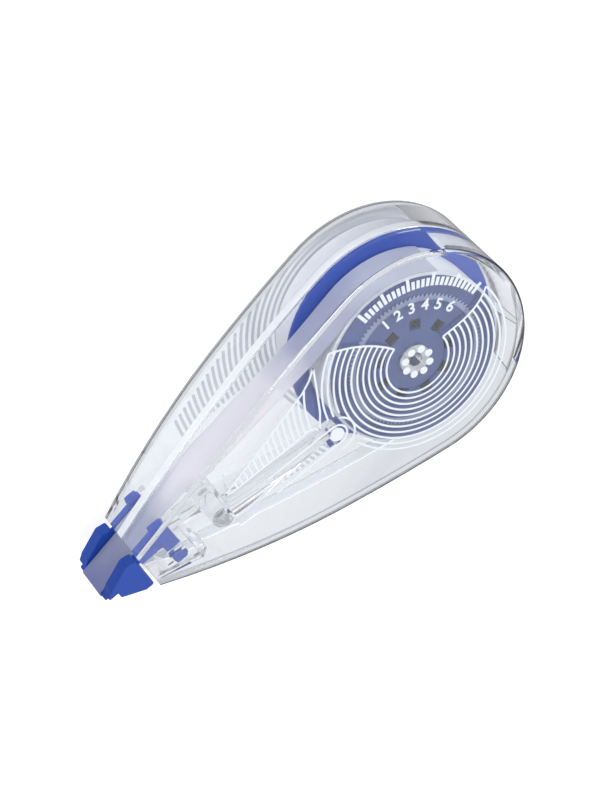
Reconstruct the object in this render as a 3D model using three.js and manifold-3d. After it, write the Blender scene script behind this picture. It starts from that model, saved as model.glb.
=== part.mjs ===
// Mini correction tape roller with a clear case, a blue tip and two reels on one axle.
// Millimetres. The object lies on its back face: Z = 0 is that face, +Z points to the printed front,
// +X runs along the case to the tip, and the reel axle stands at X = Y = 0.

import * as THREE from 'three';
import * as BufferGeometryUtils from 'three/addons/utils/BufferGeometryUtils.js';
import Module from 'manifold-3d';

const wasm = await Module();
wasm.setup();

// Case
const ROUND_R = 15.2;
const SIDE_R = 200;
const MOUTH_X = 41.2;
const MOUTH_HALF = 3.1;
const WALL = 0.95;
const PLATE = 0.9;
const EDGE_FILLET = 0.4;
const TAPER_START_X = 18;
const TAPER_DROP = 1.9;
const SEAM_Z = 7.0;
const SEAM_GAP = 0.06;
const TONGUE_DEPTH = 1.5;
const TONGUE_THICK = 0.42;
const TONGUE_CLEAR = 0.06;

// Tape
const TAPE_WIDTH = 5.0;
const TAPE_THICK = 0.12;
const TAPE_LIFT = 0.05;
const CHANNEL_CLEAR = 0.15;
const STRAND_SHIFT_X = 9.5;
const LINER_SHIFT_X = 12.5;

// Reels
const DISC_CLEAR = 0.35;
const DISC_OVERHANG = 1.5;
const ROLL_R = 11.7;
const CORE_R = 6.9;
const CORE_WALL = 0.7;
const FLANGE_SETBACK = 0.4;
const FLANGE_THICK = 0.4;
const FLANGE_GAP = 0.3;
const REEL_GAP = 0.25;
const DISC_THICK = 0.45;
const DRUM_WALL = 0.8;
const DRUM_HUB_R = 5.2;
const DRUM_RIB_COUNT = 8;
const DRUM_RIB_THICK = 0.7;
const DRUM_RIB_SETBACK = 1.2;
const LINER_TURNS_THICK = 0.25;
const LINER_WIDTH_CLEAR = 0.05;
const LINER_GAP = 0.15;
const BACK_GAP = 0.2;
const SLEEVE_R = 3.0;
const BORE_CLEAR = 0.06;
const WINDOW_COUNT = 9;
const WINDOW_SIZE = 1.5;
const WINDOW_R = 4.9;
const SERRATION_COUNT = 96;
const SERRATION_R = 9.2;
const SERRATION_BAND = 0.5;
const SERRATION_HEIGHT = 0.12;
const CLUTCH_WIDTH = 1.2;
const CLUTCH_THICK = 0.9;
const CLUTCH_MID_Z = 3.6;

// Axle and guide post
const AXLE_R = 2.0;
const AXLE_BORE_R = 0.95;
const PIN_CLEAR = 0.1;
const PIN_DEPTH = 3.0;
const POST_X = 30;
const POST_Y = 0.1;
const POST_R = 1.45;
const POST_BORE_R = 0.75;
const POST_PIN_DEPTH = 2.0;
const POST_GAP = 0.1;

// Guide rib on the front plate
const RIB_END_X = 13.3;
const RIB_END_Y = 1.5;
const RIB_WIDTH = 1.3;
const RIB_END_R = 1.0;
const RIB_DEPTH = 2.6;

// Tip head
const TIP_X = 47.45;
const TIP_Y = -0.12;
const TIP_R = 0.22;
const TIP_SLOPE = 0.234;
const TIP_UNDER_SLOPE = 0.193;
const HEEL_X = 35.9;
const NECK_UNDER_Y = -1.0;
const WEDGE_UNDER_Y = 1.2;
const NECK_WIDTH = 7.2;
const HEAD_WIDTH = 9.0;
const GUARD_GAP = 0.4;
const GUARD_TOP = [[42.9, -2.8, 0.5], [46.2, -1.15, 0.6]];
const GUARD_BACK_TOP_Y = -2.5;
const GUARD_UNDER_Y = 2.2;
const GUARD_UNDER_X = 42.8;
const GUARD_ROUND = 0.3;
const GUARD_NOSE_X = 47.0;
const NOTCH_X = 45.7;
const NOTCH_TOP_Y = -0.3;
const NOTCH_UNDER_Y = 0.55;
const RAIL_RISE = 0.28;
const EAR_X = 37.9;
const EAR_TOP_Y = -3.5;
const EAR_UNDER_Y = 2.3;
const EAR_ROUND = 0.3;
const LUG_HEIGHT = 0.55;
const LUG_UPPER = [36.1, -3.4, 37.8, -0.4];
const LUG_LOWER = [36.1, 0.7, 37.8, 2.1];
const STOP_RIB_THICK = 0.8;
const STOP_RIB_CLEAR = 0.15;
const STOP_RIB_HALF = 2.6;
const FENCE = [[34.2, -0.9], [34.2, 2.5], [35.0, 3.2], [40.4, 2.1]];
const FENCE_THICK = 0.5;
const PAD = [31.6, -4.3, 34.1, -2.8];
const LATCH = [35.2, -0.1, 38.2, 0.4];
const FENCE_CLEAR = 0.15;

// Values that follow from the ones above
const LINER_Z = PLATE + LINER_GAP;
const DISC_Z = LINER_Z + TAPE_WIDTH + LINER_WIDTH_CLEAR;
const DISC_TOP_Z = DISC_Z + DISC_THICK;
const ROLL_Z = DISC_TOP_Z + REEL_GAP;
const FLANGE_Z = ROLL_Z + TAPE_WIDTH;
const FLANGE_TOP_Z = FLANGE_Z + FLANGE_THICK;
const FRONT_INNER_Z = FLANGE_TOP_Z + FLANGE_GAP;
const THICKNESS = FRONT_INNER_Z + PLATE;
const MID_Z = THICKNESS / 2;
const DISC_R = ROUND_R - WALL - DISC_CLEAR;
const DRUM_R = DISC_R - DISC_OVERHANG;
const FLANGE_R = ROLL_R - FLANGE_SETBACK;
const DRUM_BACK_Z = PLATE + BACK_GAP;
const LINER_R = DRUM_R + LINER_TURNS_THICK;
const STRAND_Z = MID_Z - TAPE_WIDTH / 2;
const CHANNEL_HALF = TAPE_WIDTH / 2 + CHANNEL_CLEAR;
const ROUND_STEPS = 48;
const SIDE_STEPS = 12;
const REEL_STEPS = 64;
const SMALL_STEPS = 24;
const CORNER_STEPS = 4;
const TIP_STEPS = 6;
const WRAP_STEPS = 10;
const RUN_STEPS = 12;
const WRAP_TURN = Math.PI / 3;
const SINK = 0.05;

// Solids in and out of the boolean library

function solidOf(geometry) {
  const bare = geometry.clone();
  bare.deleteAttribute('normal');
  bare.deleteAttribute('uv');
  const merged = BufferGeometryUtils.mergeVertices(bare, 1e-4);
  const triVerts = Uint32Array.from(merged.index.array);
  const vertProperties = Float32Array.from(merged.attributes.position.array);
  const solid = new wasm.Manifold(new wasm.Mesh({ numProp: 3, vertProperties, triVerts }));
  if (solid.volume() > 0) return solid;
  for (let i = 0; i < triVerts.length; i += 3) {
    [triVerts[i], triVerts[i + 1]] = [triVerts[i + 1], triVerts[i]];
  }
  return new wasm.Manifold(new wasm.Mesh({ numProp: 3, vertProperties, triVerts }));
}

function geometryOf(solid) {
  const mesh = solid.getMesh();
  const geometry = new THREE.BufferGeometry();
  const position = new THREE.BufferAttribute(Float32Array.from(mesh.vertProperties), 3);
  geometry.setAttribute('position', position);
  geometry.setIndex(new THREE.BufferAttribute(Uint32Array.from(mesh.triVerts), 1));
  const flat = geometry.toNonIndexed();
  flat.computeVertexNormals();
  return flat;
}

// Basic forms

function revolve(profile, steps) {
  const points = profile.map(([radius, z]) => new THREE.Vector2(radius, z));
  return solidOf(new THREE.LatheGeometry(points, steps).rotateX(Math.PI / 2));
}

function pillar(radius, lowZ, highZ, steps, x = 0, y = 0) {
  const geometry = new THREE.CylinderGeometry(radius, radius, highZ - lowZ, steps);
  geometry.rotateX(Math.PI / 2).translate(x, y, (lowZ + highZ) / 2);
  return solidOf(geometry);
}

function tube(outerR, innerR, lowZ, highZ, steps, x = 0, y = 0) {
  const bore = pillar(innerR, lowZ - 1, highZ + 1, steps, x, y);
  return pillar(outerR, lowZ, highZ, steps, x, y).subtract(bore);
}

function prism(points, lowZ, highZ) {
  const shape = new THREE.Shape(points.map(([x, y]) => new THREE.Vector2(x, y)));
  const geometry = new THREE.ExtrudeGeometry(shape, { depth: highZ - lowZ, bevelEnabled: false });
  return solidOf(geometry.translate(0, 0, lowZ));
}

function slab(lowZ, highZ) {
  const span = 4 * MOUTH_X;
  const geometry = new THREE.BoxGeometry(span, span, highZ - lowZ);
  return solidOf(geometry.translate(0, 0, (lowZ + highZ) / 2));
}

function block([x0, y0, x1, y1], lowZ, highZ) {
  return prism([[x0, y0], [x1, y0], [x1, y1], [x0, y1]], lowZ, highZ);
}

// Outline whose corners are rounded where a third value gives their radius

function rounded(corners) {
  return corners.flatMap(([x, y, radius], i) => {
    if (!radius) return [[x, y]];
    const corner = new THREE.Vector2(x, y);
    const [backX, backY] = corners.at(i - 1);
    const [aheadX, aheadY] = corners[(i + 1) % corners.length];
    const back = new THREE.Vector2(backX, backY).sub(corner).normalize();
    const ahead = new THREE.Vector2(aheadX, aheadY).sub(corner).normalize();
    const half = back.angleTo(ahead) / 2;
    const middle = back.clone().add(ahead).setLength(radius / Math.sin(half)).add(corner);
    const reach = radius / Math.tan(half);
    const start = back.multiplyScalar(reach).add(corner).sub(middle);
    const end = ahead.multiplyScalar(reach).add(corner).sub(middle);
    const sweep = Math.atan2(start.cross(end), start.dot(end));
    return Array.from({ length: CORNER_STEPS + 1 }, (_, step) => {
      const share = step / CORNER_STEPS;
      const point = start.clone().rotateAround(new THREE.Vector2(), sweep * share).add(middle);
      return [point.x, point.y];
    });
  });
}

function roundedBox([x0, y0, x1, y1], radius) {
  return rounded([[x0, y0, radius], [x1, y0, radius], [x1, y1, radius], [x0, y1, radius]]);
}

// Upright wall that follows a bent path

function wallAlong(path, thick, lowZ, highZ) {
  let wall = pillar(thick / 2, lowZ, highZ, SMALL_STEPS / 2, ...path[0]);
  for (let i = 1; i < path.length; i++) {
    const [fromX, fromY] = path[i - 1];
    const [toX, toY] = path[i];
    const side = new THREE.Vector2(fromY - toY, toX - fromX).setLength(thick / 2);
    const leg = prism([
      [fromX + side.x, fromY + side.y],
      [fromX - side.x, fromY - side.y],
      [toX - side.x, toY - side.y],
      [toX + side.x, toY + side.y],
    ], lowZ, highZ);
    wall = wall.add(leg).add(pillar(thick / 2, lowZ, highZ, SMALL_STEPS / 2, toX, toY));
  }
  return wall;
}

// Rings of points joined to one closed body; the end caps are ladders between mirrored points.

function loft(rings) {
  const count = rings[0].length;
  const index = [];
  const quad = (a, b, c, d) => index.push(a, b, c, a, c, d);
  for (let ring = 0; ring + 1 < rings.length; ring++) {
    for (let i = 0; i < count; i++) {
      const next = (i + 1) % count;
      quad(ring * count + i, ring * count + next, (ring + 1) * count + next, (ring + 1) * count + i);
    }
  }
  const last = (rings.length - 1) * count;
  for (let i = 0; i < Math.floor(count / 2); i++) {
    const mirrored = count - 1 - i;
    const closes = i + 1 === mirrored;
    if (closes) continue;
    const meets = i + 1 === mirrored - 1;
    if (meets) {
      index.push(mirrored, i + 1, i);
      index.push(last + i, last + i + 1, last + mirrored);
    } else {
      quad(mirrored, mirrored - 1, i + 1, i);
      quad(last + i, last + i + 1, last + mirrored - 1, last + mirrored);
    }
  }
  const geometry = new THREE.BufferGeometry();
  const flatPoints = rings.flat().flatMap((p) => [p.x, p.y, p.z]);
  geometry.setAttribute('position', new THREE.Float32BufferAttribute(flatPoints, 3));
  geometry.setIndex(index);
  return solidOf(geometry);
}

// Case form: a round end with two long shallow side arcs tangent to it, cut off at the mouth

const sideTurn = (() => {
  const reach = SIDE_R - ROUND_R;
  const corner = Math.hypot(MOUTH_X, MOUTH_HALF);
  const along = (SIDE_R ** 2 - reach ** 2 - corner ** 2) / (2 * reach);
  return Math.atan2(MOUTH_HALF, MOUTH_X) + Math.acos(along / corner);
})();
const SIDE_CENTRE_X = -(SIDE_R - ROUND_R) * Math.cos(sideTurn);
const SIDE_CENTRE_Y = -(SIDE_R - ROUND_R) * Math.sin(sideTurn);

function sideY(x, inset) {
  return SIDE_CENTRE_Y + Math.sqrt((SIDE_R - inset) ** 2 - (x - SIDE_CENTRE_X) ** 2);
}

function caseOutline(inset, endX) {
  const half = [];
  const joinX = (ROUND_R - inset) * Math.cos(sideTurn);
  for (let i = 0; i < SIDE_STEPS; i++) {
    const x = THREE.MathUtils.lerp(endX, joinX, i / SIDE_STEPS);
    half.push(new THREE.Vector2(x, sideY(x, inset)));
  }
  const roundHalf = ROUND_STEPS / 2;
  for (let i = 0; i < roundHalf; i++) {
    const turn = THREE.MathUtils.lerp(sideTurn, Math.PI, i / roundHalf);
    half.push(new THREE.Vector2(Math.cos(turn), Math.sin(turn)).multiplyScalar(ROUND_R - inset));
  }
  const apex = new THREE.Vector2(inset - ROUND_R, 0);
  const mirrored = half.map((p) => new THREE.Vector2(p.x, -p.y)).reverse();
  return [...half, apex, ...mirrored];
}

function faceDrop(x) {
  const run = Math.max(0, x - TAPER_START_X);
  const fullRun = MOUTH_X - TAPER_START_X;
  const arcR = (fullRun ** 2 + TAPER_DROP ** 2) / (2 * TAPER_DROP);
  return arcR - Math.sqrt(arcR ** 2 - run ** 2);
}

function outerForm() {
  const filletSteps = 3;
  const rings = [];
  const ring = (inset, depth, front) => caseOutline(inset, MOUTH_X).map((p) => {
    const drop = faceDrop(p.x) + depth;
    return new THREE.Vector3(p.x, p.y, front ? THICKNESS - drop : drop);
  });
  for (let i = 0; i <= filletSteps; i++) {
    const turn = (i / filletSteps) * (Math.PI / 2);
    rings.push(ring(EDGE_FILLET * (1 - Math.sin(turn)), EDGE_FILLET * (1 - Math.cos(turn)), false));
  }
  for (let i = filletSteps; i >= 0; i--) {
    const turn = (i / filletSteps) * (Math.PI / 2);
    rings.push(ring(EDGE_FILLET * (1 - Math.sin(turn)), EDGE_FILLET * (1 - Math.cos(turn)), true));
  }
  return loft(rings);
}

function hollowForm() {
  const outline = caseOutline(WALL, MOUTH_X + 1);
  const ring = (front) => outline.map((p) => {
    const depth = faceDrop(p.x) + PLATE;
    return new THREE.Vector3(p.x, p.y, front ? THICKNESS - depth : depth);
  });
  return loft([ring(false), ring(true)]);
}

function outlineBlock(inset, lowZ, highZ, endX) {
  const outline = caseOutline(inset, endX);
  return loft([lowZ, highZ].map((z) => outline.map((p) => new THREE.Vector3(p.x, p.y, z))));
}

const shell = outerForm().subtract(hollowForm());

// Ribs that stand from a plate inwards, one before and one behind the head's ears

function stopRib(lowX, half, front) {
  const highX = lowX + STOP_RIB_THICK;
  const root = faceDrop(highX) + PLATE / 2;
  const reach = faceDrop(EAR_X) + PLATE + LUG_HEIGHT;
  const footprint = [lowX, -half, highX, half];
  return front ? block(footprint, THICKNESS - reach, THICKNESS - root) : block(footprint, root, reach);
}

function stopRibs(front) {
  const behind = stopRib(HEEL_X - STOP_RIB_CLEAR - STOP_RIB_THICK, STOP_RIB_HALF, front);
  const before = stopRib(EAR_X + STOP_RIB_CLEAR, STOP_RIB_HALF / 2, front);
  return behind.add(before);
}

function frontCase() {
  const half = shell.subtract(slab(-1, SEAM_Z));
  const tongueBlock = outlineBlock(WALL - TONGUE_THICK, SEAM_Z - TONGUE_DEPTH, SEAM_Z + SINK, MOUTH_X);
  const tongue = tongueBlock.subtract(hollowForm());
  const pinEnd = FRONT_INNER_Z - PIN_DEPTH;
  const locatingPin = pillar(AXLE_BORE_R - PIN_CLEAR, pinEnd, FRONT_INNER_Z + SINK, SMALL_STEPS);
  const plateZ = THICKNESS - faceDrop(POST_X) - PLATE / 2;
  const postEnd = MID_Z + POST_GAP;
  const post = pillar(POST_R, postEnd, plateZ, SMALL_STEPS, POST_X, POST_Y);
  const pinR = POST_BORE_R - PIN_CLEAR;
  const postPin = pillar(pinR, postEnd - POST_PIN_DEPTH, plateZ, SMALL_STEPS, POST_X, POST_Y);
  const fixings = [tongue, locatingPin, post, postPin, guideRib(), stopRibs(true), headFence()];
  return fixings.reduce((joined, fixing) => joined.add(fixing), half);
}

// Low fence and a latch bar at the front lugs and a pad beside the post, all under the front plate

function headFence() {
  const lowZ = MID_Z + NECK_WIDTH / 2 + FENCE_CLEAR;
  const fence = wallAlong(FENCE, FENCE_THICK, lowZ, THICKNESS);
  const form = fence.add(block(PAD, lowZ, THICKNESS)).add(block(LATCH, lowZ, THICKNESS));
  const cover = outlineBlock(WALL / 2, 0, THICKNESS, MOUTH_X);
  const underPlate = loft([0, 1].map((side) => caseOutline(0, MOUTH_X).map((p) => {
    return new THREE.Vector3(p.x, p.y, side ? THICKNESS - faceDrop(p.x) - PLATE / 2 : 0);
  })));
  return form.intersect(underPlate).intersect(cover);
}

function guideRib() {
  const lowZ = FRONT_INNER_Z - RIB_DEPTH;
  const highZ = FRONT_INNER_Z + (PLATE - faceDrop(POST_X)) / 2;
  const along = new THREE.Vector2(POST_X - RIB_END_X, POST_Y - RIB_END_Y);
  const side = new THREE.Vector2(-along.y, along.x).setLength(RIB_WIDTH / 2);
  const bar = prism([
    [RIB_END_X + side.x, RIB_END_Y + side.y],
    [RIB_END_X - side.x, RIB_END_Y - side.y],
    [POST_X - side.x, POST_Y - side.y],
    [POST_X + side.x, POST_Y + side.y],
  ], lowZ, highZ);
  return bar.add(pillar(RIB_END_R, lowZ, highZ, SMALL_STEPS, RIB_END_X, RIB_END_Y));
}

function backCase() {
  const rebateZ = SEAM_Z - TONGUE_DEPTH - SEAM_GAP;
  const rebate = outlineBlock(WALL - TONGUE_THICK - TONGUE_CLEAR, rebateZ, THICKNESS, MOUTH_X + 1);
  const half = shell.subtract(slab(SEAM_Z - SEAM_GAP, THICKNESS + 1)).subtract(rebate);
  const axleTop = FRONT_INNER_Z - FLANGE_GAP / 2;
  const axle = tube(AXLE_R, AXLE_BORE_R, PLATE - SINK, axleTop, SMALL_STEPS * 2);
  const postBase = faceDrop(POST_X) + PLATE / 2;
  const postEnd = MID_Z - POST_GAP;
  const socketEnd = postEnd - POST_PIN_DEPTH - 2 * POST_GAP;
  const socket = pillar(POST_BORE_R, socketEnd, postEnd + 1, SMALL_STEPS, POST_X, POST_Y);
  const post = pillar(POST_R, postBase, postEnd, SMALL_STEPS, POST_X, POST_Y).subtract(socket);
  return half.add(axle).add(post).add(stopRibs(false));
}

// Tip head: a wedge between two guards, with a shank that two eared rails hold in the case

function tapeBedY(x) {
  const angle = Math.atan(TIP_SLOPE);
  const touchX = TIP_X - TIP_R + TIP_R * Math.sin(angle);
  return TIP_Y - TIP_R * Math.cos(angle) - TIP_SLOPE * (touchX - x);
}

function wedgeUnderY(x) {
  const angle = Math.atan(TIP_UNDER_SLOPE);
  const touchX = TIP_X - TIP_R + TIP_R * Math.sin(angle);
  return Math.min(WEDGE_UNDER_Y, TIP_Y + TIP_R * Math.cos(angle) + TIP_UNDER_SLOPE * (touchX - x));
}

function tipArc(radius, steps) {
  const from = -Math.PI / 2 + Math.atan(TIP_SLOPE);
  const to = Math.PI / 2 - Math.atan(TIP_UNDER_SLOPE);
  const centreX = TIP_X - TIP_R;
  return Array.from({ length: steps + 1 }, (_, i) => {
    const turn = THREE.MathUtils.lerp(from, to, i / steps);
    return [centreX + radius * Math.cos(turn), TIP_Y + radius * Math.sin(turn)];
  });
}

const GUARD_BACK_X = MOUTH_X + GUARD_GAP;

function bothSides(points, innerHalf, outerHalf) {
  const front = prism(points, MID_Z + innerHalf, MID_Z + outerHalf);
  return front.add(prism(points, MID_Z - outerHalf, MID_Z - innerHalf));
}

function tipHead() {
  const arc = tipArc(TIP_R, TIP_STEPS);
  const under = [
    [GUARD_BACK_X, wedgeUnderY(GUARD_BACK_X)],
    [GUARD_BACK_X, NECK_UNDER_Y],
    [HEEL_X, NECK_UNDER_Y],
  ];
  const wedge = [[HEEL_X, tapeBedY(HEEL_X)], ...arc, ...under];
  const core = prism(wedge, MID_Z - NECK_WIDTH / 2, MID_Z + NECK_WIDTH / 2);
  const guard = rounded([
    [GUARD_BACK_X, GUARD_BACK_TOP_Y, GUARD_ROUND],
    ...GUARD_TOP,
    [GUARD_NOSE_X, tapeBedY(GUARD_NOSE_X)],
    [GUARD_NOSE_X, NOTCH_TOP_Y],
    [NOTCH_X, NOTCH_TOP_Y],
    [NOTCH_X, NOTCH_UNDER_Y, GUARD_ROUND],
    [GUARD_UNDER_X, GUARD_UNDER_Y, GUARD_ROUND],
    [GUARD_BACK_X, GUARD_UNDER_Y, GUARD_ROUND],
  ]);
  const rail = [
    [HEEL_X, tapeBedY(HEEL_X) - RAIL_RISE],
    [GUARD_BACK_X + SINK, tapeBedY(GUARD_BACK_X) - RAIL_RISE],
    [GUARD_BACK_X + SINK, NECK_UNDER_Y],
    [HEEL_X, NECK_UNDER_Y],
  ];
  const ear = roundedBox([HEEL_X, EAR_TOP_Y, EAR_X, EAR_UNDER_Y], EAR_ROUND);
  const neckHalf = NECK_WIDTH / 2;
  let head = core.add(bothSides(guard, CHANNEL_HALF, HEAD_WIDTH / 2));
  head = head.add(bothSides(rail, CHANNEL_HALF, neckHalf));
  head = head.add(bothSides(ear, CHANNEL_HALF, neckHalf));
  for (const footprint of [LUG_UPPER, LUG_LOWER]) {
    const lug = roundedBox(footprint, EAR_ROUND);
    head = head.add(bothSides(lug, neckHalf - SINK, neckHalf + LUG_HEIGHT));
  }
  return head;
}

// Supply reel: core, sleeve and one front flange with windows and a serrated ring

function supplySpool() {
  const flange = pillar(FLANGE_R, FLANGE_Z, FLANGE_TOP_Z, REEL_STEPS);
  const core = tube(CORE_R, CORE_R - CORE_WALL, ROLL_Z, FLANGE_Z + SINK, REEL_STEPS);
  const sleeveBack = DRUM_BACK_Z + BACK_GAP;
  const sleeve = pillar(SLEEVE_R, sleeveBack, FLANGE_TOP_Z, SMALL_STEPS * 2);
  const bore = pillar(AXLE_R + BORE_CLEAR, 0, THICKNESS, SMALL_STEPS * 2);
  let spool = flange.add(core).add(sleeve).add(serratedRing()).subtract(bore);
  for (let i = 0; i < WINDOW_COUNT; i++) {
    const turn = (i / WINDOW_COUNT) * 2 * Math.PI;
    const window = new THREE.BoxGeometry(WINDOW_SIZE, WINDOW_SIZE, 2 * FLANGE_THICK);
    window.translate(WINDOW_R, 0, (FLANGE_Z + FLANGE_TOP_Z) / 2).rotateZ(turn);
    spool = spool.subtract(solidOf(window));
  }
  return spool;
}

function serratedRing() {
  const points = [];
  for (let i = 0; i < 2 * SERRATION_COUNT; i++) {
    const turn = (i / SERRATION_COUNT) * Math.PI;
    const radius = i % 2 ? SERRATION_R : SERRATION_R - SERRATION_BAND;
    points.push([radius * Math.cos(turn), radius * Math.sin(turn)]);
  }
  const top = FLANGE_TOP_Z + SERRATION_HEIGHT;
  const inner = pillar(SERRATION_R - 2 * SERRATION_BAND, 0, THICKNESS, REEL_STEPS);
  return prism(points, FLANGE_TOP_Z - SINK, top).subtract(inner);
}

function tapeRoll() {
  return tube(ROLL_R, CORE_R + TAPE_LIFT, ROLL_Z, FLANGE_Z - TAPE_LIFT, REEL_STEPS);
}

// Take-up reel: a wide cup-shaped drum with a front disc, ribs and a hub round the supply sleeve

function takeupDrum() {
  const disc = pillar(DISC_R, DISC_Z, DISC_TOP_Z, REEL_STEPS);
  const rim = tube(DRUM_R, DRUM_R - DRUM_WALL, DRUM_BACK_Z, DISC_Z + SINK, REEL_STEPS);
  const hub = pillar(DRUM_HUB_R, DRUM_BACK_Z, DISC_TOP_Z, REEL_STEPS / 2);
  let drum = disc.add(rim).add(hub);
  for (let i = 0; i < DRUM_RIB_COUNT; i++) {
    const turn = (i / DRUM_RIB_COUNT) * 2 * Math.PI;
    const length = DRUM_R - DRUM_HUB_R;
    const depth = DISC_Z - DRUM_BACK_Z - DRUM_RIB_SETBACK + SINK;
    const rib = new THREE.BoxGeometry(length, DRUM_RIB_THICK, depth);
    const midR = DRUM_HUB_R - DRUM_WALL / 2 + length / 2;
    rib.translate(midR, 0, DISC_Z + SINK - depth / 2).rotateZ(turn);
    drum = drum.add(solidOf(rib));
  }
  const bore = pillar(SLEEVE_R + BORE_CLEAR, 0, THICKNESS, SMALL_STEPS * 2);
  const grooveHalf = CLUTCH_WIDTH / 2 + TAPE_LIFT;
  const grooveR = SLEEVE_R + BORE_CLEAR + CLUTCH_THICK + TAPE_LIFT;
  const groove = pillar(grooveR, CLUTCH_MID_Z - grooveHalf, CLUTCH_MID_Z + grooveHalf, SMALL_STEPS * 2);
  return drum.subtract(bore).subtract(groove);
}

function clutchRing() {
  const inner = SLEEVE_R + BORE_CLEAR;
  const outer = inner + CLUTCH_THICK;
  const soft = CLUTCH_WIDTH / 4;
  const low = CLUTCH_MID_Z - CLUTCH_WIDTH / 2;
  const high = CLUTCH_MID_Z + CLUTCH_WIDTH / 2;
  return revolve([
    [inner, low + soft],
    [inner + soft, low],
    [outer - soft, low],
    [outer, low + soft],
    [outer, high - soft],
    [outer - soft, high],
    [inner + soft, high],
    [inner, high - soft],
    [inner, low + soft],
  ], SMALL_STEPS * 2);
}

function linerCoil() {
  return tube(LINER_R, DRUM_R + TAPE_LIFT, LINER_Z, LINER_Z + TAPE_WIDTH, REEL_STEPS);
}

// Ribbons: a strip of tape with its width along Z that follows a path in the plane

function ribbon(path, lowEdge) {
  const sections = path.map(([x, y], i) => {
    const [backX, backY] = path[Math.max(0, i - 1)];
    const [aheadX, aheadY] = path[Math.min(path.length - 1, i + 1)];
    const out = new THREE.Vector2(aheadY - backY, backX - aheadX).setLength(TAPE_THICK);
    const z = lowEdge(x);
    return [
      new THREE.Vector3(x, y, z),
      new THREE.Vector3(x + out.x, y + out.y, z),
      new THREE.Vector3(x + out.x, y + out.y, z + TAPE_WIDTH),
      new THREE.Vector3(x, y, z + TAPE_WIDTH),
    ];
  });
  return loft(sections);
}

function tangentTurn(radius, x, y, sign) {
  return Math.atan2(y, x) + sign * Math.acos(radius / Math.hypot(x, y));
}

function arcPath(radius, from, to, steps) {
  return Array.from({ length: steps + 1 }, (_, i) => {
    const turn = THREE.MathUtils.lerp(from, to, i / steps);
    return [radius * Math.cos(turn), radius * Math.sin(turn)];
  });
}

function straightPath([fromX, fromY], [toX, toY], steps) {
  return Array.from({ length: steps }, (_, i) => {
    const share = (i + 1) / (steps + 1);
    return [THREE.MathUtils.lerp(fromX, toX, share), THREE.MathUtils.lerp(fromY, toY, share)];
  });
}

function shiftedEdge(x, reelZ, fromX, toX) {
  const share = THREE.MathUtils.clamp((x - fromX) / (toX - fromX), 0, 1);
  return THREE.MathUtils.lerp(reelZ, STRAND_Z, share);
}

function tapeStrand() {
  const heel = [HEEL_X, tapeBedY(HEEL_X) - TAPE_LIFT];
  const radius = ROLL_R + TAPE_LIFT;
  const leave = tangentTurn(radius, heel[0], heel[1], -1);
  const wrap = arcPath(radius, leave - WRAP_TURN, leave, WRAP_STEPS);
  const run = straightPath(wrap[wrap.length - 1], heel, RUN_STEPS);
  const lowEdge = (x) => shiftedEdge(x, ROLL_Z, STRAND_SHIFT_X, HEEL_X);
  return ribbon([...wrap, ...run, heel, ...tipArc(TIP_R + TAPE_LIFT, TIP_STEPS)], lowEdge);
}

function linerStrand() {
  const touch = tipArc(TIP_R + TAPE_LIFT, TIP_STEPS)[TIP_STEPS];
  const startX = touch[0] - 2 * TAPE_THICK;
  const start = [startX, wedgeUnderY(startX) + TAPE_LIFT];
  const bend = [GUARD_BACK_X, wedgeUnderY(GUARD_BACK_X) + TAPE_LIFT];
  const post = [POST_X, POST_Y + POST_R + TAPE_LIFT];
  const radius = LINER_R + TAPE_LIFT;
  const meet = tangentTurn(radius, post[0], post[1], 1);
  const wrap = arcPath(radius, meet, meet + WRAP_TURN, WRAP_STEPS);
  const run = straightPath(post, wrap[0], RUN_STEPS);
  const lowEdge = (x) => shiftedEdge(x, LINER_Z, LINER_SHIFT_X, POST_X);
  return ribbon([start, bend, post, ...run, ...wrap], lowEdge);
}

// Finishes and the finished object

const clear = { color: 0xe9eef2, roughness: 0.06, metalness: 0, transparent: true, opacity: 0.35 };
const blue = { color: 0x1f3fae, roughness: 0.35, metalness: 0 };
const white = { color: 0xe9e9ee, roughness: 0.6, metalness: 0 };
const paper = { color: 0xdad9e2, roughness: 0.5, metalness: 0 };
const rubber = { color: 0x202022, roughness: 0.8, metalness: 0 };

const pieces = [
  ['back_case', backCase(), clear],
  ['front_case', frontCase(), clear],
  ['tip_head', tipHead(), blue],
  ['supply_spool', supplySpool(), blue],
  ['tape_roll', tapeRoll(), white],
  ['takeup_drum', takeupDrum(), blue],
  ['clutch_ring', clutchRing(), rubber],
  ['liner_coil', linerCoil(), paper],
  ['tape_strand', tapeStrand(), white],
  ['liner_strand', linerStrand(), paper],
];

const roller = new THREE.Group();
for (const [name, solid, finish] of pieces) {
  const mesh = new THREE.Mesh(geometryOf(solid), new THREE.MeshStandardMaterial(finish));
  mesh.name = name;
  roller.add(mesh);
}

export default roller;
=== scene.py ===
"""Looks of a small correction tape roller: clear case, printed rings, blue tip and reels, lilac tape."""

import math

import bmesh
import bpy
from bpy.props import FloatProperty, FloatVectorProperty, IntProperty, PointerProperty
from mathutils import Matrix, Vector


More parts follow.
